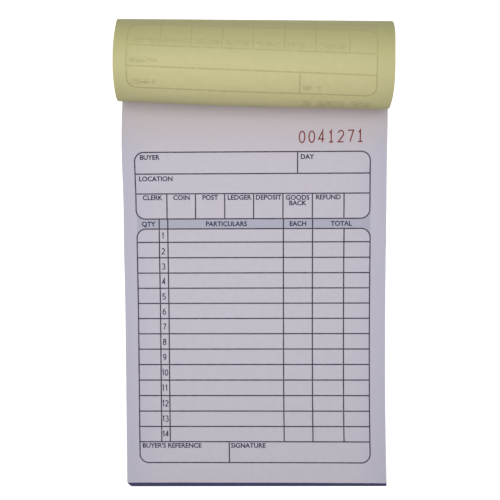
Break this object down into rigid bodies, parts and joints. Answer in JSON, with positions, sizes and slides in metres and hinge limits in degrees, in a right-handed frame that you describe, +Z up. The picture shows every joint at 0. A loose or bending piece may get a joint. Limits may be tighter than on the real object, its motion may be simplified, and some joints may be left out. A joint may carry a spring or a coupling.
{
  "type": "duplicate receipt book",
  "caption": "Pad of paired white and yellow form leaves between card covers, bound at the head by tape and staples, with used copies rolled over the head.",
  "frame": {"origin": "middle of the footprint, on the table that the book lies on", "axes": "+Y towards the bound head, +Z up out of the page, +X to the right of the reader"},
  "size_m": [0.1048, 0.187, 0.0344],
  "materials": {
    "white_form": "uncoated",
    "yellow_copy": "uncoated",
    "navy_card": "smooth card",
    "binding_cloth": "book cloth",
    "staple_wire": "bright wire"
  },
  "bodies": {
    "pad": {"back_cover": "navy_card", "foot_fold": "navy_card", "white_leaves": "white_form", "copy_leaves": "yellow_copy", "copy_leaf_head": "yellow_copy", "form_leaf_head": "white_form", "white_stubs": "white_form", "front_cover": "navy_card", "binding_tape": "binding_cloth", "staples": "staple_wire", "turned_copy_15": "yellow_copy", "turned_copy_14": "yellow_copy", "turned_copy_13": "yellow_copy", "turned_copy_12": "yellow_copy", "turned_copy_11": "yellow_copy", "turned_copy_10": "yellow_copy", "turned_copy_09": "yellow_copy", "turned_copy_08": "yellow_copy", "turned_copy_07": "yellow_copy", "turned_copy_06": "yellow_copy", "turned_copy_05": "yellow_copy", "turned_copy_04": "yellow_copy", "turned_copy_03": "yellow_copy", "turned_copy_02": "yellow_copy", "turned_copy_01": "yellow_copy"},
    "turned_tails": {"front_cover_tail": "navy_card", "turned_copy_15_tail": "yellow_copy", "turned_copy_14_tail": "yellow_copy", "turned_copy_13_tail": "yellow_copy", "turned_copy_12_tail": "yellow_copy", "turned_copy_11_tail": "yellow_copy", "turned_copy_10_tail": "yellow_copy", "turned_copy_09_tail": "yellow_copy", "turned_copy_08_tail": "yellow_copy", "turned_copy_07_tail": "yellow_copy", "turned_copy_06_tail": "yellow_copy", "turned_copy_05_tail": "yellow_copy", "turned_copy_04_tail": "yellow_copy", "turned_copy_03_tail": "yellow_copy", "turned_copy_02_tail": "yellow_copy", "turned_copy_01_tail": "yellow_copy"},
    "copy_leaf": {"copy_leaf": "yellow_copy"},
    "form_leaf": {"form_leaf": "white_form"},
    "shield": {"writing_shield": "navy_card"}
  },
  "joints": [
    {"name": "turned_tails_swing", "type": "hinge", "parent": "pad", "child": "turned_tails", "pos_m": [0, 0.0935, 0.02019], "axis": [1, 0, 0], "range_deg": [0, 100]},
    {"name": "copy_leaf_lift", "type": "hinge", "parent": "pad", "child": "copy_leaf", "pos_m": [0, 0.0601, 0.0085], "axis": [-1, 0, 0], "range_deg": [0, 55]},
    {"name": "form_leaf_lift", "type": "hinge", "parent": "copy_leaf", "child": "form_leaf", "pos_m": [0, 0.0601, 0.0085], "axis": [-1, 0, 0], "range_deg": [0, 30]},
    {"name": "shield_fold", "type": "hinge", "parent": "pad", "child": "shield", "pos_m": [0, -0.0917, 0.0018], "axis": [-1, 0, 0], "range_deg": [0, 175], "deforming": ["foot_fold"]}
  ]
}
